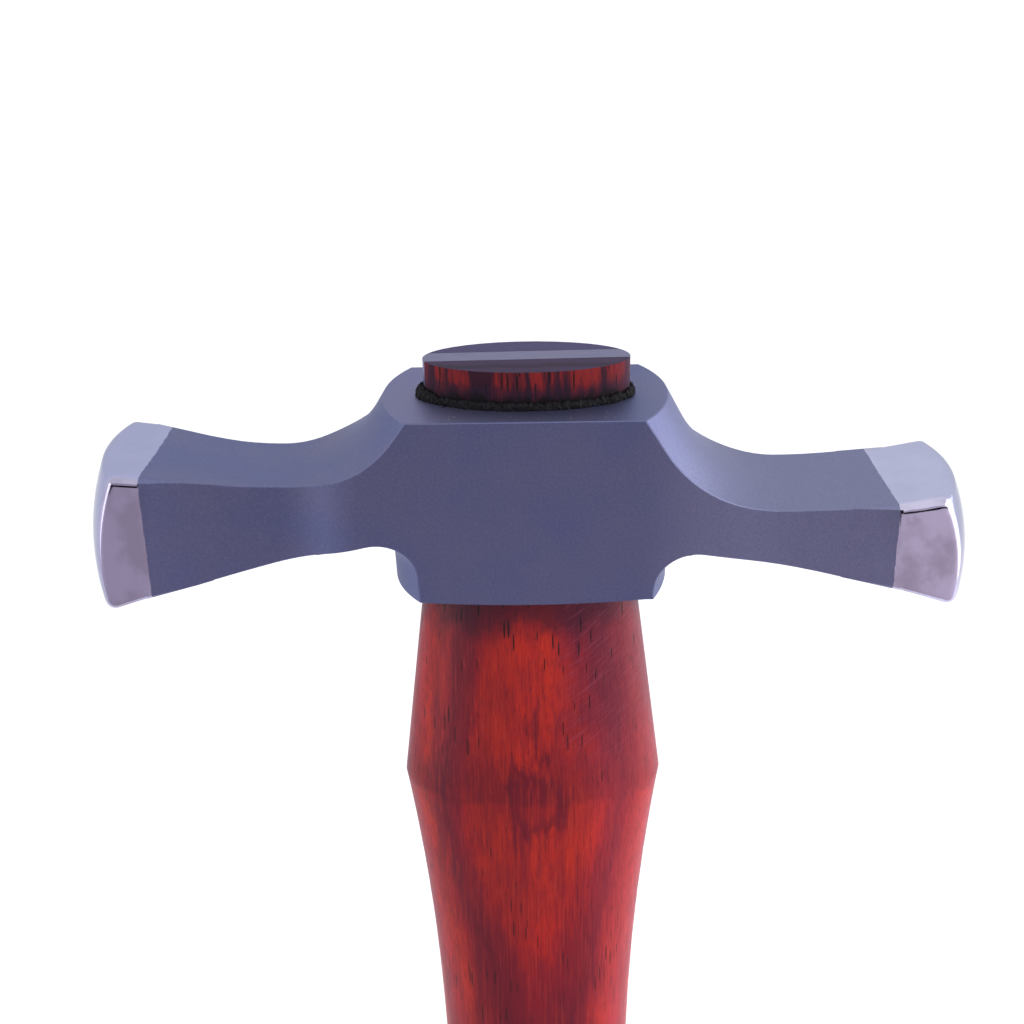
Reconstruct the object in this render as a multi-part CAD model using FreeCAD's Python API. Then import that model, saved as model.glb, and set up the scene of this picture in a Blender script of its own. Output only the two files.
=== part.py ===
import FreeCAD, Part
import math
import os

from FreeCAD import Vector

# Raising hammer of a silversmith, in millimetres. A cast steel head with two polished rectangular
# faces hangs on an oval hardwood handle. The handle's tenon fills the eye, stands proud of the head
# and is spread by a steel wedge; dark resin beds it. X runs along the head, Y from the front cheek
# to the back cheek, Z up the handle. The origin is the centre of the handle's flat butt.

# Whole tool
handle_below_head = 252.0

# Head, central block
head_height = 23.7
cheek_half_depth = 10.0
underside_reach = 17.4
underside_dome = 0.85

# Head, striking faces
face_reach = 54.7
polished_edge_radius = 1.25

# Handle: the collar under the head widens to a crisp ridge
collar_length = 28.6
collar_half_length = 13.3
collar_half_width = 7.7
ridge_half_length = 16.65
ridge_half_width = 9.4

# Eye, an oval that widens upwards. The head rests on the collar's shoulder round it
shoulder_at_ends = 0.55
shoulder_at_sides = 1.85
eye_widening_at_ends = 0.4
eye_widening_at_sides = 0.35
eye_half_length_bottom = collar_half_length - shoulder_at_ends
eye_half_width_bottom = collar_half_width - shoulder_at_sides
eye_half_length_top = eye_half_length_bottom + eye_widening_at_ends
eye_half_width_top = eye_half_width_bottom + eye_widening_at_sides

# Resin between the eye and the tenon
bedding_at_ends = 0.45
bedding_at_sides = 0.55
bedding_recess = 0.25

# Tenon, wedge and saw kerf
tenon_proud = 4.75
tenon_half_length_bottom = eye_half_length_bottom - bedding_at_ends
tenon_half_width_bottom = eye_half_width_bottom - bedding_at_sides
tenon_half_length_top = eye_half_length_top - bedding_at_ends
tenon_half_width_top = eye_half_width_top - bedding_at_sides
wedge_depth = 17.0
wedge_top_thickness = 2.9
wedge_tip_thickness = 0.9
wedge_offset = 0.6
wedge_skew_degrees = 1.6
kerf_below_wedge = 4.0

# Handle: neck, waist, grip and butt below the ridge
neck_length = 32.0
neck_half_length = 12.87
neck_half_width = 8.75
waist_length = 58.0
waist_half_length = 12.1
waist_half_width = 8.6
grip_height = 88.0
grip_half_length = 16.0
grip_half_width = 12.2
butt_half_length = 13.6
butt_half_width = 10.6
butt_round_radius = 3.0

# How far a cutting body runs past what it cuts
overrun = 5.0


class LeftArm:
    """Arm with the taller face. Reaches run from the eye's axis, heights from the head's underside."""

    side = -1
    rim_reach = 17.8
    flank_degrees = 60.0
    scoop_radius = 14.0
    waist_top = 14.65
    polish_length = 7.3
    polish_reach = face_reach - polish_length
    polish_top = 16.8
    polish_bottom = 0.75
    face_top = 17.4
    face_bottom = -1.45
    face_top_setback = 2.1
    face_bottom_setback = 0.85
    crown_radius = 26.0
    root_slope_degrees = 18.5
    cove_axis_setback = 0.0
    cove_radius = 4.2
    cove_beyond_foot = 3.85
    cove_centre_reach = underside_reach + cove_beyond_foot
    cove_centre_height = 3.4
    foot_flare_degrees = -3.0
    shoulder_reach = 19.0
    waist_reach = 31.5
    waist_half_depth = 7.2
    polish_half_depth = 9.75
    face_half_depth = 10.2


class RightArm:
    """Arm with the lower, wider face, measured as the left one."""

    side = 1
    rim_reach = 17.4
    flank_degrees = 63.0
    scoop_radius = 15.0
    waist_top = 11.35
    polish_length = 9.1
    polish_reach = face_reach - polish_length
    polish_top = 12.0
    polish_bottom = 0.75
    face_top = 13.2
    face_bottom = -2.05
    face_top_setback = 1.9
    face_bottom_setback = 0.65
    crown_radius = 27.0
    root_slope_degrees = 10.0
    cove_axis_setback = 9.6
    cove_radius = 5.1
    cove_beyond_foot = 4.9
    cove_centre_reach = underside_reach + cove_beyond_foot
    cove_centre_height = 0.85
    foot_flare_degrees = 3.0
    shoulder_reach = 20.5
    waist_reach = 33.0
    waist_half_depth = 9.2
    polish_half_depth = 10.1
    face_half_depth = 10.45


# Heights of the assembled tool
head_base = handle_below_head
head_top = head_base + head_height
tenon_top = head_top + tenon_proud
ridge_height = head_base - collar_length
head_floor = min(LeftArm.face_bottom, RightArm.face_bottom) - overrun
head_ceiling = head_height + overrun

centre_line = Vector(0, 0, 0)
upwards = Vector(0, 0, 1)


def bowed_through(start, direction, end):
    """Middle point of the arc that leaves start along direction and ends at end."""
    chord = end - start
    normal = Vector(-direction.y, direction.x, 0)
    radius = chord.Length ** 2 / (2 * chord.dot(normal))
    centre = start + normal * radius
    outwards = (start + end) * 0.5 - centre
    outwards.normalize()
    return centre + outwards * abs(radius)


def on_circle(centre, radius, degrees):
    angle = math.radians(degrees)
    return centre + Vector(radius * math.cos(angle), radius * math.sin(angle), 0)


def upright(point):
    """Stands a point drawn as reach and height up in the head's middle plane."""
    return Vector(point.x, 0, head_base + point.y)


def line_edge(start, end, place):
    return Part.LineSegment(place(start), place(end)).toShape()


def arc_edge(start, middle, end, place):
    return Part.Arc(place(start), place(middle), place(end)).toShape()


def upper_section(arm):
    """Half section below the top face, the flank, the scoop and the arm's flared top."""
    flank = math.radians(arm.flank_degrees)
    rim = Vector(arm.rim_reach, head_height, 0)
    scoop_start_height = arm.waist_top + arm.scoop_radius * (1 - math.cos(flank))
    flank_run = (head_height - scoop_start_height) / math.tan(flank)
    scoop_start = Vector(arm.rim_reach + flank_run, scoop_start_height, 0)
    waist = Vector(scoop_start.x + arm.scoop_radius * math.sin(flank), arm.waist_top, 0)
    scoop_centre = waist + Vector(0, arm.scoop_radius, 0)
    scoop_middle = on_circle(scoop_centre, arm.scoop_radius, -90 - arm.flank_degrees / 2)
    polish_top = Vector(arm.polish_reach, arm.polish_top, 0)
    flare_middle = bowed_through(waist, Vector(1, 0, 0), polish_top)
    face_top = Vector(face_reach - arm.face_top_setback, arm.face_top, 0)
    past_face = face_top + (face_top - polish_top)
    axis_bottom = Vector(0, head_floor, 0)
    axis_top = Vector(0, head_height, 0)
    edges = [
        line_edge(axis_bottom, axis_top, upright),
        line_edge(axis_top, rim, upright),
        line_edge(rim, scoop_start, upright),
        arc_edge(scoop_start, scoop_middle, waist, upright),
        arc_edge(waist, flare_middle, polish_top, upright),
        line_edge(polish_top, past_face, upright),
        line_edge(past_face, Vector(past_face.x, head_floor, 0), upright),
        line_edge(Vector(past_face.x, head_floor, 0), axis_bottom, upright),
    ]
    return Part.Face(Part.Wire(edges))


def beyond_face_section(arm):
    """Half section of what lies in front of the crowned striking face, run past the arm both ways."""
    face_top = Vector(face_reach - arm.face_top_setback, arm.face_top, 0)
    face_bottom = Vector(face_reach - arm.face_bottom_setback, arm.face_bottom, 0)
    face_crown = Vector(face_reach, (arm.face_top + arm.face_bottom) / 2, 0)
    crown = Part.Circle(face_top, face_crown, face_bottom)
    top_degrees = math.degrees(math.asin((arm.face_top + overrun - crown.Center.y) / crown.Radius))
    bottom_degrees = math.degrees(math.asin((arm.face_bottom - overrun - crown.Center.y) / crown.Radius))
    above = on_circle(crown.Center, crown.Radius, top_degrees)
    below = on_circle(crown.Center, crown.Radius, bottom_degrees)
    clear_reach = face_reach + 2 * overrun
    edges = [
        arc_edge(above, face_crown, below, upright),
        line_edge(below, Vector(clear_reach, below.y, 0), upright),
        line_edge(Vector(clear_reach, below.y, 0), Vector(clear_reach, above.y, 0), upright),
        line_edge(Vector(clear_reach, above.y, 0), above, upright),
    ]
    return Part.Face(Part.Wire(edges))


def lower_section(arm):
    """Half section above the block's foot, the cove under the arm's root and the arm's underside."""
    polish_bottom = Vector(arm.polish_reach, arm.polish_bottom, 0)
    face_bottom = Vector(face_reach, arm.face_bottom, 0)
    past_face = face_bottom + (face_bottom - polish_bottom)
    cove_centre = Vector(arm.cove_centre_reach, arm.cove_centre_height, 0)
    root_degrees = 90 - arm.root_slope_degrees
    root_slope = math.radians(arm.root_slope_degrees)
    root = on_circle(cove_centre, arm.cove_radius, root_degrees)
    belly_middle = bowed_through(root, Vector(math.cos(root_slope), -math.sin(root_slope), 0), polish_bottom)
    foot_degrees = 180 + arm.foot_flare_degrees
    foot_start = on_circle(cove_centre, arm.cove_radius, foot_degrees)
    cove_middle = on_circle(cove_centre, arm.cove_radius, (root_degrees + foot_degrees) / 2)
    foot_run = (foot_start.y - head_floor) * math.tan(math.radians(arm.foot_flare_degrees))
    foot = Vector(foot_start.x + foot_run, head_floor, 0)
    axis_bottom = Vector(-arm.cove_axis_setback, head_floor, 0)
    axis_top = Vector(-arm.cove_axis_setback, head_ceiling, 0)
    far_corner = Vector(past_face.x, head_ceiling, 0)
    edges = [
        line_edge(past_face, far_corner, upright),
        line_edge(far_corner, axis_top, upright),
        line_edge(axis_top, axis_bottom, upright),
        line_edge(axis_bottom, foot, upright),
        line_edge(foot, foot_start, upright),
        arc_edge(foot_start, cove_middle, root, upright),
        arc_edge(root, belly_middle, polish_bottom, upright),
        line_edge(polish_bottom, past_face, upright),
    ]
    return Part.Face(Part.Wire(edges))


def half_turned(section, axis_reach, side):
    """Half a turn of a section about an upright axis in the head's middle plane, on one arm's side."""
    axis_foot = Vector(axis_reach, 0, 0)
    solid = section.revolve(axis_foot, upwards, 180)
    solid.rotate(axis_foot, upwards, -90)
    if side < 0:
        solid.rotate(centre_line, upwards, 180)
    return solid


def arm_blank(arm):
    """One half of the head before its cheeks are cut. Its scoop is turned about the eye's axis, its cove
    about an axis set back behind it, and its face about an axis inside the arm, which crowns it."""
    upper = half_turned(upper_section(arm), 0, arm.side)
    lower = half_turned(lower_section(arm), -arm.cove_axis_setback, arm.side)
    beyond_face = half_turned(beyond_face_section(arm), face_reach - arm.crown_radius, arm.side)
    return upper.common(lower).cut(beyond_face)


def below_underside():
    """What lies under the slightly domed underside of the central block."""
    lowest = Vector(0, -underside_dome, 0)
    rim = Vector(underside_reach, 0, 0)
    reach = min(LeftArm.cove_centre_reach, RightArm.cove_centre_reach)
    edges = [
        arc_edge(lowest, bowed_through(lowest, Vector(1, 0, 0), rim), rim, upright),
        line_edge(rim, Vector(reach, 0, 0), upright),
        line_edge(Vector(reach, 0, 0), Vector(reach, 2 * head_floor, 0), upright),
        line_edge(Vector(reach, 2 * head_floor, 0), Vector(0, 2 * head_floor, 0), upright),
        line_edge(Vector(0, 2 * head_floor, 0), lowest, upright),
    ]
    return Part.Face(Part.Wire(edges)).revolve(centre_line, upwards, 360)


def cheek_edges(arm, back):
    """Outline of one cheek from above, from the middle of the head out past this arm's face."""
    def place(point):
        return Vector(point.x * arm.side, point.y * back, head_base + head_floor)

    shoulder = Vector(arm.shoulder_reach, cheek_half_depth, 0)
    waist = Vector(arm.waist_reach, arm.waist_half_depth, 0)
    turn = (shoulder + waist) * 0.5
    polish = Vector(arm.polish_reach, arm.polish_half_depth, 0)
    face = Vector(face_reach, arm.face_half_depth, 0)
    past_face = face + (face - polish)
    outwards = Vector(1, 0, 0)
    return [
        line_edge(Vector(0, cheek_half_depth, 0), shoulder, place),
        arc_edge(shoulder, bowed_through(shoulder, outwards, turn), turn, place),
        arc_edge(turn, bowed_through(waist, -outwards, turn), waist, place),
        arc_edge(waist, bowed_through(waist, outwards, polish), polish, place),
        line_edge(polish, past_face, place),
        line_edge(past_face, Vector(past_face.x, 0, 0), place),
    ]


def cheek_prism():
    """Upright body between the two cheeks."""
    edges = []
    for arm in (LeftArm, RightArm):
        for back in (-1, 1):
            edges += cheek_edges(arm, back)
    outline = Part.Wire(Part.sortEdges(edges)[0])
    return Part.Face(outline).extrude(Vector(0, 0, head_ceiling - head_floor))


def make_head_blank():
    halves = arm_blank(LeftArm).fuse(arm_blank(RightArm))
    return halves.cut(below_underside()).common(cheek_prism()).removeSplitter()


def with_soft_face(head, arm):
    """Rounds the edges of one polished face, and the long edges back to where the polish ends."""
    zone_centre = arm.side * (arm.polish_reach + face_reach / 2)
    zone = Part.makeBox(face_reach, 4 * cheek_half_depth, head_ceiling - head_floor,
                        Vector(zone_centre - face_reach / 2, -2 * cheek_half_depth, head_base + head_floor))
    polished = head.common(zone)
    edges = [edge for edge in polished.Edges
             if max(abs(vertex.X) for vertex in edge.Vertexes) > arm.polish_reach + polished_edge_radius / 2]
    return head.cut(zone).fuse(polished.makeFillet(polished_edge_radius, edges))


def oval_wire(height, half_length, half_width):
    """Level oval about the centre line, its half length along X."""
    middle = Vector(0, 0, height)
    long_radius = max(half_length, half_width)
    short_radius = min(half_length, half_width)
    edge = Part.Ellipse(middle, long_radius, short_radius).toShape()
    if half_width > half_length:
        edge.rotate(middle, upwards, 90)
    return Part.Wire([edge])


def oval_loft(sections, straight):
    """Solid through ovals given as height, half length and half width."""
    wires = [oval_wire(*section) for section in sections]
    return Part.makeLoft(wires, True, straight)


def oval_taper(bottom, top, start, end):
    """Oval taper between the heights start and end, sized at the head's underside and top face."""
    sections = []
    for height in (start, end):
        share = (height - head_base) / head_height
        sizes = [low + (high - low) * share for low, high in zip(bottom, top)]
        sections.append([height] + sizes)
    return oval_loft(sections, True)


def make_eye():
    bottom = (eye_half_length_bottom, eye_half_width_bottom)
    top = (eye_half_length_top, eye_half_width_top)
    return oval_taper(bottom, top, head_base - overrun, head_top + overrun)


def make_tenon():
    bottom = (tenon_half_length_bottom, tenon_half_width_bottom)
    top = (tenon_half_length_top, tenon_half_width_top)
    return oval_taper(bottom, top, head_base - overrun, tenon_top)


def across_tenon(section_points):
    """Runs a section drawn across the tenon along its whole length, turned and offset as the wedge."""
    half_run = tenon_half_length_top + overrun
    corners = [Vector(-half_run, point.x, point.y) for point in section_points]
    body = Part.Face(Part.makePolygon(corners + corners[:1])).extrude(Vector(2 * half_run, 0, 0))
    body.rotate(centre_line, upwards, wedge_skew_degrees)
    body.translate(Vector(0, wedge_offset, 0))
    return body


def make_wedge_space():
    tip = tenon_top - wedge_depth
    return across_tenon([
        Vector(-wedge_top_thickness / 2, tenon_top, 0),
        Vector(wedge_top_thickness / 2, tenon_top, 0),
        Vector(wedge_tip_thickness / 2, tip, 0),
        Vector(-wedge_tip_thickness / 2, tip, 0),
    ])


def make_kerf():
    """Saw cut that stays open below the wedge's tip."""
    top = tenon_top - wedge_depth
    bottom = top - kerf_below_wedge
    return across_tenon([
        Vector(-wedge_tip_thickness / 2, top, 0),
        Vector(wedge_tip_thickness / 2, top, 0),
        Vector(wedge_tip_thickness / 2, bottom, 0),
        Vector(-wedge_tip_thickness / 2, bottom, 0),
    ])


def make_grip():
    """Handle below the ridge, its butt rounded to a flat end."""
    grip = oval_loft([
        (0, butt_half_length, butt_half_width),
        (grip_height, grip_half_length, grip_half_width),
        (ridge_height - waist_length, waist_half_length, waist_half_width),
        (ridge_height - neck_length, neck_half_length, neck_half_width),
        (ridge_height, ridge_half_length, ridge_half_width),
    ], False)
    rim = [edge for edge in grip.Edges if edge.BoundBox.ZMax < butt_round_radius / 2]
    return grip.makeFillet(butt_round_radius, rim)


def make_collar():
    return oval_loft([
        (ridge_height, ridge_half_length, ridge_half_width),
        (head_base, collar_half_length, collar_half_width),
    ], True)


def make_bedding(eye, handle):
    """Resin that fills the eye round the tenon, from the collar to just below the top face."""
    depth = head_height + overrun
    slab = Part.makeBox(4 * eye_half_length_top, 4 * eye_half_width_top, depth,
                        Vector(-2 * eye_half_length_top, -2 * eye_half_width_top,
                               head_top - bedding_recess - depth))
    return eye.common(slab).cut(handle)


def build():
    blank = make_head_blank()
    eye = make_eye()
    head = with_soft_face(with_soft_face(blank, LeftArm), RightArm).cut(eye)
    tenon = make_tenon()
    wedge_space = make_wedge_space()
    wedge = tenon.common(wedge_space)
    whole_handle = make_grip().fuse(make_collar().cut(blank)).fuse(tenon)
    handle = whole_handle.cut(wedge_space).cut(make_kerf())
    bedding = make_bedding(eye, whole_handle)
    return {"head": head, "handle": handle, "wedge": wedge, "eye_bedding": bedding}


os.makedirs("parts", exist_ok=True)
for node, shape in build().items():
    print(node, len(shape.Solids), "solid", round(shape.Volume), "mm3", "valid", shape.isValid())
    shape.exportStep("parts/" + node + ".step")
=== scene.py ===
import math

import bmesh
import bpy
from mathutils import Matrix, Vector


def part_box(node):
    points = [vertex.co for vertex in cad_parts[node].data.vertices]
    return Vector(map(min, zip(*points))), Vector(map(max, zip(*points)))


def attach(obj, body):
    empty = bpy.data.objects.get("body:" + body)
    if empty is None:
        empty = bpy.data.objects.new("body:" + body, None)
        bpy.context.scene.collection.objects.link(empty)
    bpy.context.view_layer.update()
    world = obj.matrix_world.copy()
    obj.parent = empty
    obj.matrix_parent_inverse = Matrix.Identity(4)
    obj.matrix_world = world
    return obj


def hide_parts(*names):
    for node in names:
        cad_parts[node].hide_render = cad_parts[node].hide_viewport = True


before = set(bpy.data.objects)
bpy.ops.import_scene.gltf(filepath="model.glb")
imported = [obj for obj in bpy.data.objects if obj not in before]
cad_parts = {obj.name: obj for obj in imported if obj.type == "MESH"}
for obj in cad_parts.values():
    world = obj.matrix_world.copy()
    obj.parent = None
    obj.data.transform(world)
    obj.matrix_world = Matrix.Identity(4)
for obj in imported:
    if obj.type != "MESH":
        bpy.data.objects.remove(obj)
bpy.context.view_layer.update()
scene = bpy.context.scene
scene.view_settings.view_transform = "Standard"
# The scene is in metres: this is one millimetre.
MM = 0.001

# Head. One investment casting of stainless steel, bead-blasted all over. Then both striking faces and
# the last millimetres of the arms are ground and mirror polished by hand. The eye is cast through it.
HEAD_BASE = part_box("head")[0].z
HEAD_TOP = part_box("head")[1].z
SHARP_EDGE = math.radians(25)
WELD = 0.001 * MM
SLIVER = 0.003 * MM
SAME_LEVEL = 0.02 * MM
SATIN_CHAMFER = 0.11 * MM
CHAMFER_REACH = 40.0 * MM
POLISH_REACH_LEFT = 47.4 * MM
POLISH_REACH_RIGHT = 45.6 * MM
POLISH_ROUNDING = 1.25 * MM
RELIEF_LENGTH = 5.5 * MM
RELIEF_SEARCH = 1.2 * RELIEF_LENGTH
RELIEF_ALLOWANCE = 0.02 * MM
RELIEF_TILTS = [math.radians(tilt) for tilt in (0, -30, 30)]
# The line where the polish ends, in millimetres: how far out it lies at the middle plane and the lowest
# point, how much nearer it comes per millimetre back, and how much further out it goes per millimetre up.
POLISH_LINE_LEFT = 45.7
POLISH_LINE_RIGHT = 43.7
POLISH_LINE_BACK = 0.1
POLISH_LINE_UP = 0.037
SATIN_ROUGHNESS = 0.5
MIRROR_ROUGHNESS = 0.07
SATIN_RELIEF = 0.35


def linear(hex_colour):
    """Linear RGBA of an sRGB colour written as six hex digits."""
    channels = [int(hex_colour[i:i + 2], 16) / 255 for i in (0, 2, 4)]
    return [c / 12.92 if c <= 0.04045 else ((c + 0.055) / 1.055) ** 2.4 for c in channels] + [1.0]


def add_node(tree, kind, inputs=None, **settings):
    """Adds a node. A setting is an attribute of the node. An input is a value, a socket to link from, or
    a node whose first output in use is linked."""
    node = tree.nodes.new(kind)
    for name, value in settings.items():
        setattr(node, name, value)
    for name, value in (inputs or {}).items():
        if isinstance(value, bpy.types.Node):
            value = next(socket for socket in value.outputs if socket.enabled)
        if isinstance(value, bpy.types.NodeSocket):
            tree.links.new(value, node.inputs[name])
        else:
            node.inputs[name].default_value = value
    return node


def new_material(name):
    """An empty material with its output node."""
    material = bpy.data.materials.new(name)
    material.use_nodes = True
    tree = material.node_tree
    tree.nodes.clear()
    return material, tree, add_node(tree, "ShaderNodeOutputMaterial")


def merged_copy(node_name, piece_name, finish=None):
    """A CAD node's solid as a piece of its own: its loose triangles joined, its edges finished by the
    given function, and sharp where it is sharp."""
    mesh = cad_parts[node_name].data.copy()
    mesh.materials.clear()
    mesh.name = piece_name
    work = bmesh.new()
    work.from_mesh(mesh)
    bmesh.ops.remove_doubles(work, verts=work.verts, dist=WELD)
    bmesh.ops.dissolve_degenerate(work, edges=work.edges, dist=WELD)
    if finish:
        finish(work)
    for face in work.faces:
        face.smooth = True
    for edge in work.edges:
        edge.smooth = edge.calc_face_angle(0) < SHARP_EDGE
    work.to_mesh(mesh)
    work.free()
    if "custom_normal" in mesh.attributes:
        mesh.attributes.remove(mesh.attributes["custom_normal"])
    piece = bpy.data.objects.new(piece_name, mesh)
    scene.collection.objects.link(piece)
    return piece


def in_millimetres(tree):
    """Object coordinates in millimetres, whole and as X, Y and Z."""
    place = add_node(tree, "ShaderNodeTexCoord").outputs["Object"]
    place = add_node(tree, "ShaderNodeVectorMath", {0: place, "Scale": 1 / MM}, operation="SCALE")
    axes = add_node(tree, "ShaderNodeSeparateXYZ", {"Vector": place})
    return place, axes.outputs["X"], axes.outputs["Y"], axes.outputs["Z"]


def unevenness(tree, place, waves, detail=2.0, roughness=0.5):
    """Random unevenness of a surface, from 0 to 1, with its own number of waves per millimetre along each
    axis. Few waves along an axis draw it out into streaks."""
    drawn_out = add_node(tree, "ShaderNodeVectorMath", {0: place, 1: waves}, operation="MULTIPLY")
    return add_node(tree, "ShaderNodeTexNoise",
                    {"Vector": drawn_out, "Scale": 1.0, "Detail": detail, "Roughness": roughness})


def patch(tree, strength, *bounds):
    """A patch with soft edges: it has its full strength inside all its bounds. Each bound is a value and
    the two numbers between which the patch comes in."""
    for value, outside, inside in bounds:
        strength = add_node(tree, "ShaderNodeMapRange", {0: value, 1: outside, 2: inside, 4: strength},
                            interpolation_type="SMOOTHSTEP")
    return strength


def stained(tree, colour, *stains):
    """A colour with stains laid over it, one after another. Each stain is a strength and a colour."""
    for strength, stain in stains:
        if isinstance(stain, str):
            stain = linear(stain)
        colour = add_node(tree, "ShaderNodeMix", {0: strength, 6: colour, 7: stain}, data_type="RGBA")
    return colour


def steel_material():
    """Cast stainless steel. Blasting leaves it matt, even and faintly blue, with a fine grain. Polishing
    leaves a mirror with a thin haze and the hair-thin marks of the wheel."""
    material, tree, output = new_material("bead_blasted_and_polished_stainless")
    place, x, y, z = in_millimetres(tree)
    reach = add_node(tree, "ShaderNodeMath", {0: x}, operation="ABSOLUTE")
    across = add_node(tree, "ShaderNodeMath", {0: y}, operation="ABSOLUTE")
    right_side = add_node(tree, "ShaderNodeMath", {0: x, 1: 0.0}, operation="GREATER_THAN")
    # The polish was held by hand, so it ends in a ragged line that leans with the arm. At the front cheek
    # it lies 47 mm out on the left and 45 mm out on the right.
    line = add_node(tree, "ShaderNodeMath",
                    {0: right_side, 1: POLISH_LINE_RIGHT - POLISH_LINE_LEFT, 2: POLISH_LINE_LEFT},
                    operation="MULTIPLY_ADD")
    past = add_node(tree, "ShaderNodeMath", {0: reach, 1: line}, operation="SUBTRACT")
    past = add_node(tree, "ShaderNodeMath", {0: y, 1: POLISH_LINE_BACK, 2: past}, operation="MULTIPLY_ADD")
    height = add_node(tree, "ShaderNodeMath", {0: z, 1: HEAD_BASE / MM}, operation="SUBTRACT")
    past = add_node(tree, "ShaderNodeMath", {0: height, 1: -POLISH_LINE_UP, 2: past},
                    operation="MULTIPLY_ADD")
    ragged = unevenness(tree, place, (0.9, 0.9, 0.9), 4.0, 0.6)
    ragged = add_node(tree, "ShaderNodeMath", {0: ragged, 1: 0.5}, operation="SUBTRACT")
    past = add_node(tree, "ShaderNodeMath", {0: ragged, 1: 0.35, 2: past}, operation="MULTIPLY_ADD")
    polished = patch(tree, 1.0, (past, -0.03, 0.03))
    # Blasted skin: grains of 0.12 mm, mottles and dark specks of 0.3 mm, and faint clouds of 9 mm where the
    # nozzle lingered. The right arm is painted a little paler: painted light from the right.
    grain = unevenness(tree, place, (8.0, 8.0, 8.0), 2.0, 0.6)
    clouds = unevenness(tree, place, (0.11, 0.11, 0.11), 3.0)
    mottles = unevenness(tree, place, (3.0, 3.0, 3.0), 3.0, 0.7)
    specks = unevenness(tree, place, (3.0, 3.0, 3.0), 0.0)
    blasted = stained(tree, linear("6a7198"),
                      (patch(tree, 1.0, (clouds, 0.3, 0.7)), "727496"),
                      (patch(tree, 1.0, (x, 12.5, 22.0)), "8083a3"),
                      (patch(tree, 0.22, (mottles, 0.6, 0.35)), "5c6088"),
                      (patch(tree, 0.16, (mottles, 0.5, 0.7)), "8f91b0"),
                      (patch(tree, 0.35, (specks, 0.8, 0.85)), "48475f"))
    # The top is painted a little lighter towards its left end: painted light. In front of the eye it has
    # pale specks of dried glue, 0.2 to 0.4 mm across.
    on_top = ((z, HEAD_TOP / MM - 0.15, HEAD_TOP / MM - 0.05), (across, 9.87, 9.75))
    before_eye = ((y, -6.6, -6.9), (y, -9.4, -8.6), (reach, 12.0, 9.0))
    dabs = add_node(tree, "ShaderNodeVectorMath", {0: place, 1: (0.9, 1.6, 1.6)}, operation="MULTIPLY")
    dabs = add_node(tree, "ShaderNodeTexVoronoi", {"Vector": dabs, "Scale": 1.0, "Randomness": 1.0})
    scattered = unevenness(tree, place, (0.5, 0.5, 0.5), 1.0)
    glue = patch(tree, 0.8, *on_top, *before_eye, (scattered, 0.4, 0.5), (dabs, 0.2, 0.13))
    blasted = stained(tree, blasted,
                      (patch(tree, 0.45, *on_top, (x, 11.0, -9.0)), "8b89ab"),
                      (glue, "c6c2c0"))
    # Mirror polish: haze in clouds of 4 mm, and a grey film in clouds of 5 mm on the cheeks only. The
    # right end is painted paler, as painted light from the right, and the cheeks are painted pinker, as a
    # painted reflection of the card in front.
    haze = unevenness(tree, place, (0.22, 0.22, 0.13), 3.0, 0.55)
    film = unevenness(tree, place, (0.2, 0.2, 0.15), 4.0, 0.55)
    painted_front_reflection = stained(tree, linear("bdb2c6"), (right_side, "ddd2ea"))
    mirror = stained(tree, linear("a7abcf"),
                     (right_side, "babddc"),
                     (patch(tree, 0.15, (haze, 0.65, 0.35)), "9499b8"),
                     (patch(tree, 0.5, (across, 8.8, 9.6)), painted_front_reflection),
                     (patch(tree, 0.5, (across, 8.8, 9.6), (film, 0.42, 0.66)), "8f8799"))
    # Haze and wheel marks take some of the shine. The marks run up the arm and are 0.2 mm wide.
    marks = unevenness(tree, place, (5.0, 5.0, 0.12))
    dull = add_node(tree, "ShaderNodeMath",
                    {0: patch(tree, 0.06, (haze, 0.65, 0.35)), 1: patch(tree, 0.04, (marks, 0.4, 0.7))},
                    operation="ADD")
    dull = add_node(tree, "ShaderNodeMath", {0: dull, 1: SATIN_ROUGHNESS - MIRROR_ROUGHNESS},
                    operation="SUBTRACT")
    rough = add_node(tree, "ShaderNodeMath", {0: polished, 1: dull, 2: SATIN_ROUGHNESS},
                     operation="MULTIPLY_ADD")
    # The grain stands out on the satin only, and long hand-made ripples of 6 mm on the polish only.
    grain_left = add_node(tree, "ShaderNodeMath", {0: polished, 1: -SATIN_RELIEF, 2: SATIN_RELIEF},
                          operation="MULTIPLY_ADD")
    satin_bump = add_node(tree, "ShaderNodeBump",
                          {"Height": grain, "Strength": grain_left, "Distance": 0.03 * MM})
    ripples = unevenness(tree, place, (0.16, 0.16, 0.1), 2.0, 0.4)
    bump = add_node(tree, "ShaderNodeBump",
                    {"Height": ripples, "Strength": polished, "Distance": 0.05 * MM, "Normal": satin_bump})
    shader = add_node(tree, "ShaderNodeBsdfPrincipled",
                      {"Base Color": stained(tree, blasted, (polished, mirror)), "Metallic": 1.0,
                       "Roughness": rough, "Specular Tint": (0.7, 0.7, 0.72, 1.0), "Normal": bump})
    tree.links.new(shader.outputs[0], output.inputs["Surface"])
    return material


def is_sharp(edge):
    """Whether two faces meet at a crisp edge."""
    return edge.calc_face_angle(0) > SHARP_EDGE


def outside_flat(work, end, flat_place, flat_normal):
    """The head's points near one end of a relief that stand outside the flat to be filed."""
    side = math.copysign(1, end.x)
    return [vertex for vertex in work.verts
            if (vertex.co - flat_place).dot(flat_normal) > WELD
            and (vertex.co - end).length < RELIEF_SEARCH
            and side * vertex.co.x < side * end.x + SAME_LEVEL]


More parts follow.
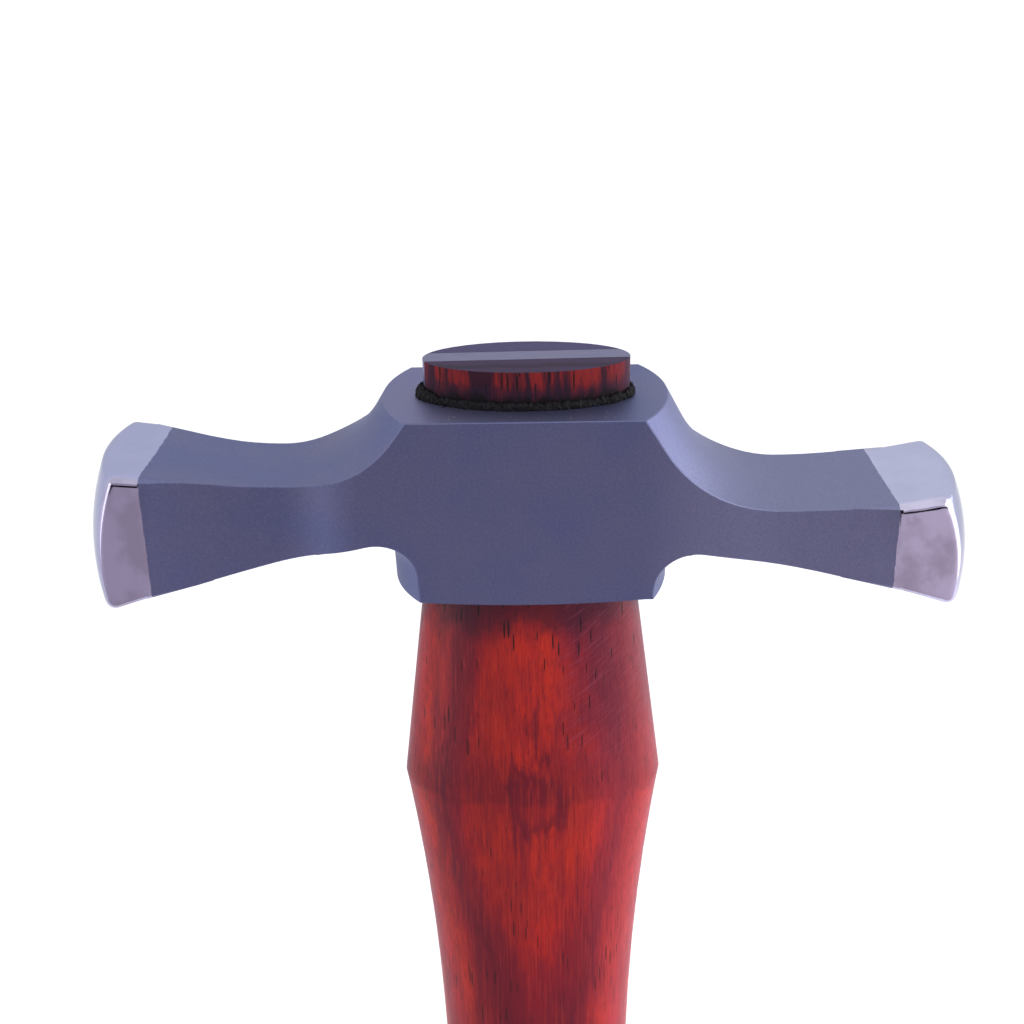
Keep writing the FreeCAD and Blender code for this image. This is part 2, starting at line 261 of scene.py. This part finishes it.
def relieve_corner(work, corner):
    """Files the arm's crisp long edge down, in three flats, towards one corner where the rounding begins."""
    side = math.copysign(1, corner.co.x)
    end = corner.co.copy()
    beside = [edge.other_vert(corner).co - end for edge in corner.link_edges if is_sharp(edge)]
    first, second = [way.normalized() for way in beside if abs(way.x) < SAME_LEVEL]
    arc_centre = end + (first + second) * POLISH_ROUNDING / math.sin(first.angle(second))
    outwards = -(first + second).normalized()
    along = corner
    while (along.co - end).length < RELIEF_LENGTH:
        ahead = [edge.other_vert(along) for edge in along.link_edges if is_sharp(edge)]
        ahead = [vertex for vertex in ahead if side * (along.co.x - vertex.co.x) > SAME_LEVEL]
        along = max(ahead, key=lambda vertex: (side * (along.co.x - vertex.co.x)
                                               / (along.co - vertex.co).length))
    start = along.co.copy()
    for tilt in RELIEF_TILTS:
        outside = Matrix.Rotation(tilt, 3, "X") @ outwards
        over_arc = arc_centre + outside * (POLISH_ROUNDING + RELIEF_ALLOWANCE)
        across = Vector((1, 0, 0)).cross(outside)
        normal = across.cross(over_arc - start).normalized()
        if normal.dot(outside) < 0:
            normal.negate()
        faces = {face for vertex in outside_flat(work, end, over_arc, normal) for face in vertex.link_faces}
        faces = {face for face in faces
                 if max(side * vertex.co.x for vertex in face.verts) < side * end.x + SAME_LEVEL}
        geometry = faces | {e for f in faces for e in f.edges} | {v for f in faces for v in f.verts}
        bmesh.ops.bisect_plane(work, geom=list(geometry), dist=WELD / 2, plane_co=over_arc, plane_no=normal)
        bmesh.ops.delete(work, geom=outside_flat(work, end, over_arc, normal), context="VERTS")
        bmesh.ops.holes_fill(work, edges=[edge for edge in work.edges if edge.is_boundary])


def finish_head(work):
    """Files the long edges down where the polish begins and chamfers the other satin edges."""
    for reach in (-POLISH_REACH_LEFT, POLISH_REACH_RIGHT):
        for depth in (-1, 1):
            for height in (-1, 1):
                level = [vertex for vertex in work.verts if abs(vertex.co.x - reach) < SAME_LEVEL]
                corner = max(level, key=lambda vertex: depth * vertex.co.y + height * vertex.co.z)
                relieve_corner(work, corner)
    broken = [edge for edge in work.edges if is_sharp(edge)
              and max(abs(vertex.co.x) for vertex in edge.verts) < CHAMFER_REACH]
    bmesh.ops.bevel(work, geom=broken, offset=SATIN_CHAMFER, offset_type="OFFSET", segments=1, profile=0.5,
                    affect="EDGES", clamp_overlap=False)
    # The cuts leave faces of many sides with slivers: these close up once the faces are triangles.
    bmesh.ops.triangulate(work, faces=[face for face in work.faces if len(face.verts) > 4])
    bmesh.ops.remove_doubles(work, verts=work.verts, dist=SLIVER)
    bmesh.ops.dissolve_degenerate(work, edges=work.edges, dist=SLIVER)


head = merged_copy("head", "raising_head", finish_head)
head.data.materials.append(steel_material())
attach(head, "root")
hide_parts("head")

# Handle. One piece of padauk, turned and rasped to an oval with a crisp ridge, sanded and oiled. Its
# tenon stands proud of the head, left raw where it was sawn off, with resin run down its sides.
TENON_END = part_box("handle")[1].z
# Heights of the ridge and the collar's top, and what shapes the wood's figure, in millimetres.
RIDGE = 222.0
COLLAR_TOP = 252.0
LAYERS_DEPTH = 22.0
GRAIN_SLOPE = 0.05
WARP = 2.6
CURL = 1.3


def growth_layers(tree, depth):
    """Colour of the growth layers, by their depth in millimetres from the handle's middle plane."""
    layers = ((-10.4, "a82624"), (-9.5, "b52b25"), (-9.25, "741a26"), (-9.05, "cb3421"), (-8.3, "cf3620"),
              (-7.7, "c52e24"), (-7.2, "96202d"), (-6.3, "75192e"), (-5.7, "aa282c"), (-4.6, "d03a28"),
              (-3.1, "c8343a"), (-1.2, "a62a3c"), (0.5, "c83430"), (2.6, "8f2032"), (4.6, "cf3826"),
              (6.1, "781b2e"), (7.4, "ca3325"), (8.7, "94242c"), (10.0, "bd2e26"))
    share = add_node(tree, "ShaderNodeMath", {0: depth, 1: 1 / LAYERS_DEPTH, 2: 0.5},
                     operation="MULTIPLY_ADD")
    ramp = add_node(tree, "ShaderNodeValToRGB", {"Fac": share})
    stops = ramp.color_ramp.elements
    while len(stops) < len(layers):
        stops.new(0.5)
    for stop, (millimetres, colour) in zip(stops, layers):
        stop.position = millimetres / LAYERS_DEPTH + 0.5
        stop.color = linear(colour)
    return ramp


def wood_figure(tree, place, x, y, z):
    """Colour of padauk's side grain. Below the ridge the growth layers lie 3 degrees off the handle's axis,
    so the neck cuts them as long arches, and the ridge cuts them as a small ring."""
    warp = unevenness(tree, place, (0.10, 0.10, 0.035), 3.0, 0.55)
    curl = unevenness(tree, place, (0.7, 0.7, 0.16), 3.0, 0.6)
    below_ridge = add_node(tree, "ShaderNodeMath", {0: z, 1: RIDGE}, operation="SUBTRACT")
    below_ridge = add_node(tree, "ShaderNodeMath", {0: below_ridge, 1: 0.0}, operation="MINIMUM")
    depth = add_node(tree, "ShaderNodeMath", {0: y, 1: (WARP + CURL) / 2}, operation="SUBTRACT")
    for bend, share in ((below_ridge, -GRAIN_SLOPE), (warp, WARP), (curl, CURL)):
        depth = add_node(tree, "ShaderNodeMath", {0: bend, 1: share, 2: depth}, operation="MULTIPLY_ADD")
    # Over the layers lie wine-dark streaks of 3 to 6 mm that run the whole length, and darker patches. The
    # ridge's upper slope is painted a little darker, down to a wavy line: painted shade.
    streaks = unevenness(tree, place, (0.24, 0.24, 0.02), 4.0, 0.65)
    patches = unevenness(tree, place, (0.22, 0.22, 0.1), 4.0, 0.7)
    wavy = add_node(tree, "ShaderNodeMath", {0: z, 1: 2.5}, operation="SUBTRACT")
    wavy = add_node(tree, "ShaderNodeMath", {0: patches, 1: 5.0, 2: wavy}, operation="MULTIPLY_ADD")
    ridge_painted_shade = patch(tree, 0.45, (wavy, RIDGE - 0.4, RIDGE + 0.8), (wavy, RIDGE + 9.0, RIDGE + 2.5))
    colour = stained(tree, growth_layers(tree, depth),
                     (patch(tree, 0.7, (streaks, 0.5, 0.7)), "74192f"),
                     (patch(tree, 0.45, (patches, 0.6, 0.42)), "8e202c"),
                     (ridge_painted_shade, "651629"))
    # The oil deepens the red. Left of its middle the wood is painted darker, as painted shade, and towards
    # its right edge paler and pinker, as painted light from the right. It has hairs of 0.15 mm and dark and
    # bright fibres of 0.3 mm.
    oiled = add_node(tree, "ShaderNodeMix", {0: 1.0, 6: colour, 7: linear("fbdbe2")}, data_type="RGBA",
                     blend_type="MULTIPLY")
    hairs = unevenness(tree, place, (6.5, 6.5, 0.22), 2.0, 0.6)
    fibres = unevenness(tree, place, (3.2, 3.2, 0.07), 3.0, 0.65)
    return stained(tree, oiled,
                   (patch(tree, 0.3, (x, 0.0, -4.0), (x, -10.0, -7.5)), "5a1420"),
                   (patch(tree, 0.28, (x, 5.0, 11.0)), "e04854"),
                   (patch(tree, 0.5, (hairs, 0.5, 0.72)), "5a1426"),
                   (patch(tree, 0.45, (fibres, 0.5, 0.75)), "5c1526"),
                   (patch(tree, 0.35, (fibres, 0.5, 0.25)), "cf3f2a"))


def padauk_material():
    """Padauk, rasped, sanded and oiled: deep red with wine-dark figure, open dark pores along the grain and a
    low, soft shine. Above the head it is raw, dull and blotched."""
    material, tree, output = new_material("oiled_padauk")
    place, x, y, z = in_millimetres(tree)
    # Open pores: dark dashes about 0.1 mm wide and 1 mm long. Just under the head they are crowded, up to
    # twice as large, and blacker.
    cells = add_node(tree, "ShaderNodeVectorMath", {0: place, 1: (1.7, 1.2, 0.15)}, operation="MULTIPLY")
    cells = add_node(tree, "ShaderNodeTexVoronoi", {"Vector": cells, "Scale": 1.0, "Randomness": 1.0})
    crowd = patch(tree, 1.0, (unevenness(tree, place, (0.16, 0.16, 0.05)), 0.45, 0.7))
    near_head = patch(tree, 1.0, (z, COLLAR_TOP - 15.0, COLLAR_TOP - 5.0))
    crowd = add_node(tree, "ShaderNodeMath", {0: crowd, 1: near_head}, operation="MAXIMUM")
    width = add_node(tree, "ShaderNodeMath", {0: crowd, 1: 0.16, 2: 0.06}, operation="MULTIPLY_ADD")
    inside_pore = add_node(tree, "ShaderNodeMath", {0: width, 1: cells}, operation="SUBTRACT")
    pore = (inside_pore, -0.02, 0.02)
    black = add_node(tree, "ShaderNodeMapRange", {0: z, 1: RIDGE + 3.0, 2: RIDGE + 23.0, 3: 0.6, 4: 0.9},
                     interpolation_type="SMOOTHSTEP")
    # The collar is darker just under the head, partly from resin and partly as painted shade of the head,
    # and on its right shoulder, where fine sanding marks cross the grain.
    shade_and_resin_noise = unevenness(tree, place, (0.25, 0.25, 0.16), 3.0, 0.6)
    under_head_shade_and_resin = add_node(tree, "ShaderNodeMath", {0: shade_and_resin_noise, 1: -9.0, 2: z}, operation="MULTIPLY_ADD")
    shoulder = ((x, 1.5, 6.5), (z, RIDGE, RIDGE + 14.0))
    slanted = add_node(tree, "ShaderNodeVectorRotate",
                       {"Vector": place, "Axis": (0.0, 1.0, 0.0), "Angle": math.radians(-55)})
    scratches = unevenness(tree, slanted, (4.5, 0.4, 0.22), 3.0, 0.6)
    oiled = stained(tree, wood_figure(tree, place, x, y, z),
                    (patch(tree, 0.8, (under_head_shade_and_resin, COLLAR_TOP - 12.2, COLLAR_TOP - 7.2)), "3a1024"),
                    (patch(tree, 0.55, *shoulder), "5f1530"),
                    (patch(tree, 0.35, *shoulder, (scratches, 0.5, 0.66)), "a2455a"),
                    (patch(tree, black, pore), "22090f"))
    # The tenon above the head: blotched with resin, darker at its ends and black with resin at its foot.
    blotches = unevenness(tree, place, (0.6, 0.6, 0.08), 3.0, 0.6)
    reach = add_node(tree, "ShaderNodeMath", {0: x}, operation="ABSOLUTE")
    climb = add_node(tree, "ShaderNodeMath", {0: z, 1: HEAD_TOP / MM}, operation="SUBTRACT")
    climb = add_node(tree, "ShaderNodeMath",
                     {0: unevenness(tree, place, (0.9, 0.9, 0.5), 3.0, 0.6), 1: -3.2, 2: climb},
                     operation="MULTIPLY_ADD")
    raw = stained(tree, linear("942422"),
                  (patch(tree, 1.0, (blotches, 0.4, 0.6)), "3a1425"),
                  (patch(tree, 0.9, pore), "14080d"),
                  (patch(tree, 0.8, (climb, 2.0, 0.2)), "2c1c2e"),
                  (patch(tree, 0.7, (reach, 10.5, 12.6)), "4a1c34"),
                  (patch(tree, 0.9, (climb, 0.4, -0.7)), "141015"))
    above_head = patch(tree, 1.0, (z, HEAD_TOP / MM - 0.1, HEAD_TOP / MM))
    relief = add_node(tree, "ShaderNodeMath",
                      {0: unevenness(tree, place, (4.0, 4.0, 0.09), 3.0, 0.6), 1: patch(tree, 1.0, pore)},
                      operation="SUBTRACT")
    bump = add_node(tree, "ShaderNodeBump", {"Height": relief, "Strength": 0.35, "Distance": 0.04 * MM})
    rough = add_node(tree, "ShaderNodeMath", {0: above_head, 1: 0.25, 2: 0.42}, operation="MULTIPLY_ADD")
    shader = add_node(tree, "ShaderNodeBsdfPrincipled",
                      {"Base Color": stained(tree, oiled, (above_head, raw)), "Roughness": rough,
                       "Specular IOR Level": 0.25, "Sheen Weight": 0.12, "Sheen Roughness": 0.35,
                       "Sheen Tint": (0.85, 0.6, 0.8, 1.0), "Normal": bump})
    tree.links.new(shader.outputs[0], output.inputs["Surface"])
    return material


def end_grain_material():
    """Padauk sawn across: growth rings 3 mm apart, darkened by resin, with the pores as black dots. It is
    duller than the oiled side. Towards the back it is painted greyer and bluer: a painted reflection of the
    room."""
    material, tree, output = new_material("sawn_padauk_end_grain")
    place, x, y, z = in_millimetres(tree)
    rings = add_node(tree, "ShaderNodeMath", {0: y, 1: 2.2}, operation="MULTIPLY")
    rings = add_node(tree, "ShaderNodeMath", {0: unevenness(tree, place, (0.2, 0.2, 0.2)), 1: 5.0, 2: rings},
                     operation="MULTIPLY_ADD")
    rings = add_node(tree, "ShaderNodeMath", {0: rings}, operation="SINE")
    cells = add_node(tree, "ShaderNodeTexVoronoi", {"Vector": place, "Scale": 2.2, "Randomness": 1.0})
    colour = stained(tree, linear("3d2a4b"),
                     (patch(tree, 1.0, (rings, -0.6, 0.9)), "2c1c38"),
                     (patch(tree, 0.75, (y, -2.0, 3.0)), "565078"),
                     (patch(tree, 0.7, (cells, 0.16, 0.10)), "0e070c"))
    shader = add_node(tree, "ShaderNodeBsdfPrincipled",
                      {"Base Color": colour, "Roughness": 0.5, "Specular IOR Level": 0.1})
    tree.links.new(shader.outputs[0], output.inputs["Surface"])
    return material


handle = merged_copy("handle", "padauk_handle")
handle.data.materials.append(padauk_material())
handle.data.materials.append(end_grain_material())
for polygon in handle.data.polygons:
    if polygon.normal.z > 0.9 and polygon.center.z > TENON_END - 0.2 * MM:
        polygon.material_index = 1
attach(handle, "root")
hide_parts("handle")

# Wedge. A tapered strip of steel, ground on a belt, so a dull shine runs along it. It is driven down the
# saw cut in the tenon until it lies flush with the tenon's end, and spreads the tenon in the eye.
material, tree, output = new_material("ground_steel_wedge")
place, x, y, z = in_millimetres(tree)
scratches = unevenness(tree, place, (0.3, 9.0, 9.0))
shade = stained(tree, linear("68678a"), (patch(tree, 1.0, (scratches, 0.35, 0.65)), "747394"))
shader = add_node(tree, "ShaderNodeBsdfPrincipled", {"Base Color": shade, "Metallic": 1.0, "Roughness": 0.42})
tree.links.new(shader.outputs[0], output.inputs["Surface"])
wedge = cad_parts["wedge"]
wedge.data.materials.clear()
wedge.data.materials.append(material)

# Eye bedding. Dark epoxy resin that is poured into the eye round the tenon, fills what room is left there,
# and bonds wood to steel. Cured, it is nearly black, dull and lumpy.
material, tree, output = new_material("cured_dark_resin")
place, x, y, z = in_millimetres(tree)
lumps = unevenness(tree, place, (1.5, 1.5, 1.5), 4.0, 0.6)
shade = stained(tree, linear("08070a"), (patch(tree, 1.0, (lumps, 0.35, 0.7)), "1d1a20"))
bump = add_node(tree, "ShaderNodeBump", {"Height": lumps, "Strength": 0.8, "Distance": 0.2 * MM})
shader = add_node(tree, "ShaderNodeBsdfPrincipled",
                  {"Base Color": shade, "Roughness": 0.7, "Specular IOR Level": 0.3, "Normal": bump})
tree.links.new(shader.outputs[0], output.inputs["Surface"])
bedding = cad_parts["eye_bedding"]
bedding.data.materials.clear()
bedding.data.materials.append(material)

# Squeezed-out resin. A rough bead of the bedding resin left round the tenon's foot, with a lump at its
# left end and dried crumbs and specks of it on the steel round the eye.
BEAD_HALF_LENGTH = 12.95 * MM
BEAD_HALF_WIDTH = 5.95 * MM
BEAD_RADIUS = 0.42 * MM
BEAD_ROUGHNESS = 0.8 * MM
BEAD_LIFT = 0.15 * MM
BEAD_UPRIGHT_STRETCH = 1.7
LUMP_START = -10.5 * MM
LUMP_END = -13.0 * MM
CRUMBS = 110
CRUMB_RADIUS = 0.14 * MM
CRUMB_SPREAD = 0.75 * MM
CRUMB_SINK = 0.12
BEAD_SEED = 7


def bead_tree(resin):
    """Geometry Nodes for the bead: an oval tube of uneven thickness, and crumbs strewn along it."""
    tree = bpy.data.node_groups.new("resin_bead", "GeometryNodeTree")
    sockets = {}
    for name, kind in (("Bead Radius", "NodeSocketFloat"), ("Roughness", "NodeSocketFloat"),
                       ("Crumb Spread", "NodeSocketFloat"), ("Crumbs", "NodeSocketInt"),
                       ("Seed", "NodeSocketInt")):
        sockets[name] = tree.interface.new_socket(name, in_out="INPUT", socket_type=kind).identifier
    tree.interface.new_socket("Geometry", in_out="OUTPUT", socket_type="NodeSocketGeometry")
    inputs = add_node(tree, "NodeGroupInput").outputs
    # The tube is thicker and thinner by turns, swells to the lump, and is roughened all over.
    oval = add_node(tree, "GeometryNodeCurvePrimitiveCircle", {"Resolution": 640, "Radius": 1.0})
    oval = add_node(tree, "GeometryNodeTransform",
                    {"Geometry": oval, "Scale": (BEAD_HALF_LENGTH, BEAD_HALF_WIDTH, 1.0)})
    place = add_node(tree, "GeometryNodeInputPosition")
    along = add_node(tree, "ShaderNodeSeparateXYZ", {"Vector": place}).outputs["X"]
    coarse = add_node(tree, "ShaderNodeTexNoise",
                      {"Vector": place, "Scale": 520.0, "Detail": 3.0, "Roughness": 0.6})
    lump = add_node(tree, "ShaderNodeMapRange",
                    {"Value": along, "From Min": LUMP_START, "From Max": LUMP_END, "To Max": 0.75})
    swell = add_node(tree, "ShaderNodeMath", {0: coarse, 1: 1.3, 2: lump}, operation="MULTIPLY_ADD")
    swell = add_node(tree, "ShaderNodeMath", {0: swell, 1: 0.35}, operation="ADD")
    profile = add_node(tree, "GeometryNodeCurvePrimitiveCircle",
                       {"Resolution": 22, "Radius": inputs["Bead Radius"]})
    tube = add_node(tree, "GeometryNodeCurveToMesh",
                    {"Curve": oval, "Profile Curve": profile, "Scale": swell})
    fine = add_node(tree, "ShaderNodeTexNoise",
                    {"Vector": place, "Scale": 3800.0, "Detail": 3.0, "Roughness": 0.7})
    push = add_node(tree, "ShaderNodeVectorMath", {0: fine.outputs["Color"], 1: (0.5, 0.5, 0.5)},
                    operation="SUBTRACT")
    push = add_node(tree, "ShaderNodeVectorMath", {0: push, "Scale": inputs["Roughness"]}, operation="SCALE")
    rough_tube = add_node(tree, "GeometryNodeSetPosition", {"Geometry": tube, "Offset": push})
    # Crumbs: small pebbles on points of the same oval, moved at random across it and half sunk in the steel.
    ring = add_node(tree, "GeometryNodeResampleCurve", {"Curve": oval, "Count": inputs["Crumbs"]})
    points = add_node(tree, "GeometryNodeCurveToPoints", {"Curve": ring, "Count": inputs["Crumbs"]})
    spread = add_node(tree, "FunctionNodeRandomValue",
                      {"Min": (-1.0, -1.0, -CRUMB_SINK), "Max": (1.0, 1.0, -CRUMB_SINK),
                       "Seed": inputs["Seed"]},
                      data_type="FLOAT_VECTOR")
    spread = add_node(tree, "ShaderNodeVectorMath", {0: spread, "Scale": inputs["Crumb Spread"]},
                      operation="SCALE")
    strewn = add_node(tree, "GeometryNodeSetPosition", {"Geometry": points, "Offset": spread})
    pebble = add_node(tree, "GeometryNodeMeshIcoSphere", {"Radius": CRUMB_RADIUS, "Subdivisions": 2})
    size = add_node(tree, "FunctionNodeRandomValue", {"Min": 0.35, "Max": 1.3, "Seed": inputs["Seed"]},
                    data_type="FLOAT")
    crumbs = add_node(tree, "GeometryNodeInstanceOnPoints",
                      {"Points": strewn, "Instance": pebble, "Scale": size})
    joined = add_node(tree, "GeometryNodeJoinGeometry")
    for part in (rough_tube, crumbs):
        tree.links.new(part.outputs[0], joined.inputs[0])
    real = add_node(tree, "GeometryNodeRealizeInstances", {"Geometry": joined})
    coated = add_node(tree, "GeometryNodeSetMaterial", {"Geometry": real, "Material": resin})
    add_node(tree, "NodeGroupOutput", {0: coated})
    return tree, sockets


def made_by_nodes(name, tree, values):
    """Runs a node tree once and keeps what it makes as a plain mesh."""
    mesh = bpy.data.meshes.new(name)
    piece = bpy.data.objects.new(name, mesh)
    scene.collection.objects.link(piece)
    modifier = piece.modifiers.new(name, "NODES")
    modifier.node_group = tree
    for identifier, value in values.items():
        modifier[identifier] = value
    bpy.context.view_layer.update()
    evaluated = piece.evaluated_get(bpy.context.evaluated_depsgraph_get())
    made = bpy.data.meshes.new_from_object(evaluated)
    piece.modifiers.remove(modifier)
    piece.data = made
    made.name = name
    return piece


tree, sockets = bead_tree(bpy.data.materials["cured_dark_resin"])
bead = made_by_nodes("resin_bead", tree,
                     {sockets["Bead Radius"]: BEAD_RADIUS, sockets["Roughness"]: BEAD_ROUGHNESS,
                      sockets["Crumb Spread"]: CRUMB_SPREAD, sockets["Crumbs"]: CRUMBS,
                      sockets["Seed"]: BEAD_SEED})
bead.data.transform(Matrix.Translation((0, 0, HEAD_TOP + BEAD_LIFT))
                    @ Matrix.Diagonal((1, 1, BEAD_UPRIGHT_STRETCH, 1)))
for polygon in bead.data.polygons:
    polygon.use_smooth = True
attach(bead, "root")

# Studio floor. A wide sheet of white paper that the hammer stands on. It glows for the camera, and in
# reflections, so that the ground is white. The glow lights nothing, and the hammer's shadow stays.
FLOOR_HALF = 3.0
FLOOR_GLOW = 0.68


def ray_is(tree, *kinds):
    """1 for a ray of any of the kinds named, and otherwise 0."""
    rays = add_node(tree, "ShaderNodeLightPath")
    found = 0.0
    for kind in kinds:
        found = add_node(tree, "ShaderNodeMath", {0: rays.outputs[kind], 1: found}, operation="MAXIMUM")
    return found


mesh = bpy.data.meshes.new("studio_floor")
mesh.from_pydata([(-FLOOR_HALF, -FLOOR_HALF, 0), (FLOOR_HALF, -FLOOR_HALF, 0), (FLOOR_HALF, FLOOR_HALF, 0),
                  (-FLOOR_HALF, FLOOR_HALF, 0)], [], [(0, 1, 2, 3)])
floor = bpy.data.objects.new("studio_floor", mesh)
scene.collection.objects.link(floor)
material, tree, output = new_material("white_paper")
seen = ray_is(tree, "Is Camera Ray", "Is Glossy Ray", "Is Transmission Ray")
glow = add_node(tree, "ShaderNodeMath", {0: seen, 1: FLOOR_GLOW}, operation="MULTIPLY")
glow = add_node(tree, "ShaderNodeEmission", {"Color": linear("fffdf8"), "Strength": glow})
paper = add_node(tree, "ShaderNodeBsdfDiffuse", {"Color": linear("d8d8d8")})
both = add_node(tree, "ShaderNodeAddShader", {0: paper, 1: glow})
tree.links.new(both.outputs[0], output.inputs["Surface"])
floor.data.materials.append(material)

# Cards. A pale card leans in front of the hammer, below the camera, and keeps the front of the steel dim.
# A black flag on it draws the dark line under the rounded long edges of the polish. Only the shine of the
# steel and the oil meets them: the camera looks through both, and they cast no shadow.
CARD_FOOT = -0.05
CARD_LEAN = math.radians(47)


def card(name, corners, lift, hex_colour):
    """A flat board on the leaning plane: its corners are given across and up the plane, in metres."""
    mesh = bpy.data.meshes.new(name)
    places = [(across, CARD_FOOT - up * math.cos(CARD_LEAN) + lift, up * math.sin(CARD_LEAN))
              for across, up in corners]
    mesh.from_pydata(places, [], [(0, 1, 2, 3)])
    piece = bpy.data.objects.new(name, mesh)
    scene.collection.objects.link(piece)
    material, tree, output = new_material(name + "_board")
    unseen = ray_is(tree, "Is Camera Ray", "Is Shadow Ray", "Is Diffuse Ray")
    board = add_node(tree, "ShaderNodeBsdfDiffuse", {"Color": linear(hex_colour)})
    clear = add_node(tree, "ShaderNodeBsdfTransparent")
    seen_board = add_node(tree, "ShaderNodeMixShader", {0: unseen, 1: board, 2: clear})
    tree.links.new(seen_board.outputs[0], output.inputs["Surface"])
    piece.data.materials.append(material)


card("front_card", ((-0.7, 0.0), (0.7, 0.0), (0.7, 0.8), (-0.7, 0.8)), 0.0, "eee0de")
card("black_flag", ((-0.5, 0.27), (0.5, 0.33), (0.5, 0.45), (-0.5, 0.42)), 0.004, "0c0c0e")

# Room. Its walls are white to the camera, the steel and glass. To everything else they are a plain,
# dimmer white with a little blue in it, which lights the hammer softly from all round.
ROOM_LIGHT = 0.65
world = bpy.data.worlds.new("studio")
scene.world = world
world.use_nodes = True
tree = world.node_tree
tree.nodes.clear()
output = add_node(tree, "ShaderNodeOutputWorld")
seen = ray_is(tree, "Is Camera Ray", "Is Glossy Ray", "Is Transmission Ray")
strength = add_node(tree, "ShaderNodeMapRange", {0: seen, 3: ROOM_LIGHT, 4: 1.0})
walls = stained(tree, linear("e6ebff"), (seen, "ffffff"))
background = add_node(tree, "ShaderNodeBackground", {"Color": walls, "Strength": strength})
tree.links.new(background.outputs[0], output.inputs["Surface"])


# Lamps. A wide soft box fills the right side down to the floor. A narrow one stands in front on the left
# and draws the bright line down the left face's rounded upright edge.
def softbox(name, place, target, size, power):
    """A soft box at a place, in metres, turned to its target, with its width and height and its watts."""
    lamp = bpy.data.lights.new(name, "AREA")
    lamp.shape = "RECTANGLE"
    lamp.size, lamp.size_y = size
    lamp.energy = power
    lamp_object = bpy.data.objects.new(name, lamp)
    lamp_object.location = place
    lamp_object.rotation_euler = (Vector(target) - Vector(place)).to_track_quat("-Z", "Y").to_euler()
    scene.collection.objects.link(lamp_object)


softbox("wide_right_softbox", place=(0.5, -0.05, 0.4), target=(0, -0.05, 0.4), size=(1.0, 0.76), power=3.6)
softbox("narrow_left_softbox", place=(-0.42, -0.2, 0.2), target=(0, 0, 0.2), size=(0.22, 0.36), power=0.45)

# Camera. It stands where the photograph was taken from, close in front of the head and above it. Its
# place, turn and lens were found from the lines of the head in the photograph.
CAMERA_PLACE = Vector((1.1, -277.4, 379.7)) * MM
CAMERA_YAW = math.radians(-0.661)
CAMERA_PITCH = math.radians(23.387)
CAMERA_ROLL = math.radians(-1.05)
CAMERA_LENS = 84.24
forward = Vector((math.sin(CAMERA_YAW) * math.cos(CAMERA_PITCH),
                  math.cos(CAMERA_YAW) * math.cos(CAMERA_PITCH),
                  -math.sin(CAMERA_PITCH)))
level = Vector((math.cos(CAMERA_YAW), -math.sin(CAMERA_YAW), 0))
above = level.cross(forward)
right = level * math.cos(CAMERA_ROLL) + above * math.sin(CAMERA_ROLL)
up = above * math.cos(CAMERA_ROLL) - level * math.sin(CAMERA_ROLL)
camera = bpy.data.objects.new("camera", bpy.data.cameras.new("camera"))
camera.data.lens = CAMERA_LENS
camera.data.sensor_width = 36
camera.data.clip_start = 10 * MM
camera.matrix_world = Matrix.Translation(CAMERA_PLACE) @ Matrix((right, up, -forward)).transposed().to_4x4()
scene.collection.objects.link(camera)
scene.camera = camera
